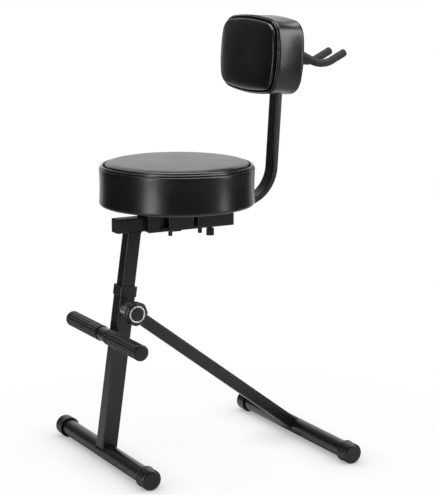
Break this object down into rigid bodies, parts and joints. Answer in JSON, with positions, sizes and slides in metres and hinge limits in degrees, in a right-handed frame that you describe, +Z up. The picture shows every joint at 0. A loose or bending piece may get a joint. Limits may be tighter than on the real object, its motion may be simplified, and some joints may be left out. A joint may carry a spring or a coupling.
{
  "type": "folding performer's stool with backrest",
  "caption": "Black folding stool with a round padded seat, padded backrest, ribbed footrest and a rear hanger yoke",
  "frame": {"origin": "on the floor under the middle of the stool's floor plan", "axes": "+Z up, the sitter faces -Y, +X is the side of the strut and its clutch knob"},
  "size_m": [0.5246, 0.6347, 0.9912],
  "materials": {
    "frame_black": "satin black powder coat",
    "rubber_black": "moulded black rubber",
    "foam_black": "matte black foam sleeve",
    "plastic_black": "moulded black nylon",
    "zinc_hub": "die-cast, lightly tumbled",
    "bright_ring": "bright plated ring",
    "plated_steel": "zinc plated steel",
    "black_screw": "black oxide steel",
    "brass_insert": "plain turned brass",
    "plywood": "raw plywood",
    "vinyl_black": "black vinyl upholstery, fine grain"
  },
  "bodies": {
    "base": {"front_foot_tube": "frame_black", "front_cap_left": "rubber_black", "front_cap_right": "rubber_black", "lower_leg_tube": "frame_black", "leg_collar": "plastic_black", "height_nut": "frame_black", "clutch_inner": "zinc_hub", "pivot_stud": "plated_steel", "footrest_bar": "frame_black", "footrest_weld": "frame_black", "footrest_grip_left": "rubber_black", "footrest_grip_right": "rubber_black"},
    "strut": {"clutch_washer": "plastic_black", "clutch_outer": "zinc_hub", "strut_tube": "frame_black", "rear_foot_tube": "frame_black", "rear_cap_left": "rubber_black", "rear_cap_right": "rubber_black"},
    "clutch_knob": {"knob_washer": "plated_steel", "knob_body": "plastic_black", "knob_insert": "brass_insert", "knob_ring": "bright_ring", "knob_cap": "plastic_black"},
    "height_clamp": {"height_screw": "plated_steel", "height_knob": "plastic_black"},
    "upper_leg": {"upper_leg_tube": "frame_black", "upper_leg_glide": "plastic_black", "seat_beam": "frame_black", "beam_front_plug": "plastic_black", "beam_rear_plug": "plastic_black"},
    "seat": {"seat_channel": "frame_black", "front_guide": "plastic_black", "rear_guide": "plastic_black", "clamp_bridge": "frame_black", "seat_bolts": "plated_steel", "seat_board": "plywood", "seat_cushion": "vinyl_black"},
    "front_lock": {"front_lock_screw": "black_screw"},
    "rear_lock": {"rear_lock_screw": "black_screw"},
    "backrest_lock": {"backrest_lock_screw": "plated_steel", "backrest_lock_knob": "plastic_black"},
    "backrest": {"backrest_tube": "frame_black", "backrest_front_plug": "plastic_black", "backrest_top_plug": "plastic_black", "backrest_pad": "vinyl_black", "backrest_board": "plywood", "backrest_bolts": "plated_steel", "hanger_bracket": "frame_black", "hanger_bolts": "plated_steel"},
    "yoke": {"yoke_rod": "frame_black", "yoke_foam_left": "foam_black", "yoke_foam_right": "foam_black"}
  },
  "joints": [
    {"name": "strut_fold", "type": "hinge", "parent": "base", "child": "strut", "pos_m": [0.0133, -0.2468, 0.3506], "axis": [-1, 0, 0], "range_deg": [0, 52]},
    {"name": "clutch_knob_turn", "type": "hinge", "parent": "base", "child": "clutch_knob", "pos_m": [0.0249, -0.2468, 0.3506], "axis": [-1, 0, 0], "range_deg": [0, 540]},
    {"name": "height_clamp_turn", "type": "hinge", "parent": "base", "child": "height_clamp", "pos_m": [-0.0468, -0.2449, 0.36397], "axis": [-1, 0, 0], "range_deg": [0, 540]},
    {"name": "leg_height", "type": "slide", "parent": "base", "child": "upper_leg", "axis": [0, 0.1409, 0.99], "range_m": [-0.09, 0.06]},
    {"name": "seat_slide", "type": "slide", "parent": "upper_leg", "child": "seat", "axis": [0, 1, 0], "range_m": [-0.008, 0.01]},
    {"name": "front_lock_turn", "type": "hinge", "parent": "seat", "child": "front_lock", "pos_m": [-0.0283, -0.12675, 0.52], "axis": [0, 0, -1], "range_deg": [0, 540]},
    {"name": "rear_lock_turn", "type": "hinge", "parent": "seat", "child": "rear_lock", "pos_m": [-0.0283, -0.05125, 0.52], "axis": [0, 0, -1], "range_deg": [0, 540]},
    {"name": "backrest_lock_turn", "type": "hinge", "parent": "seat", "child": "backrest_lock", "pos_m": [-0.0283, -0.02475, 0.52], "axis": [0, 0, -1], "range_deg": [0, 540]},
    {"name": "backrest_slide", "type": "slide", "parent": "seat", "child": "backrest", "axis": [0, 1, 0], "range_m": [0, 0.03]},
    {"name": "yoke_swivel", "type": "hinge", "parent": "backrest", "child": "yoke", "pos_m": [-0.0283, 0.17281, 0.90772], "axis": [0, 0.998, -0.0628], "range_deg": [-20, 20]}
  ]
}
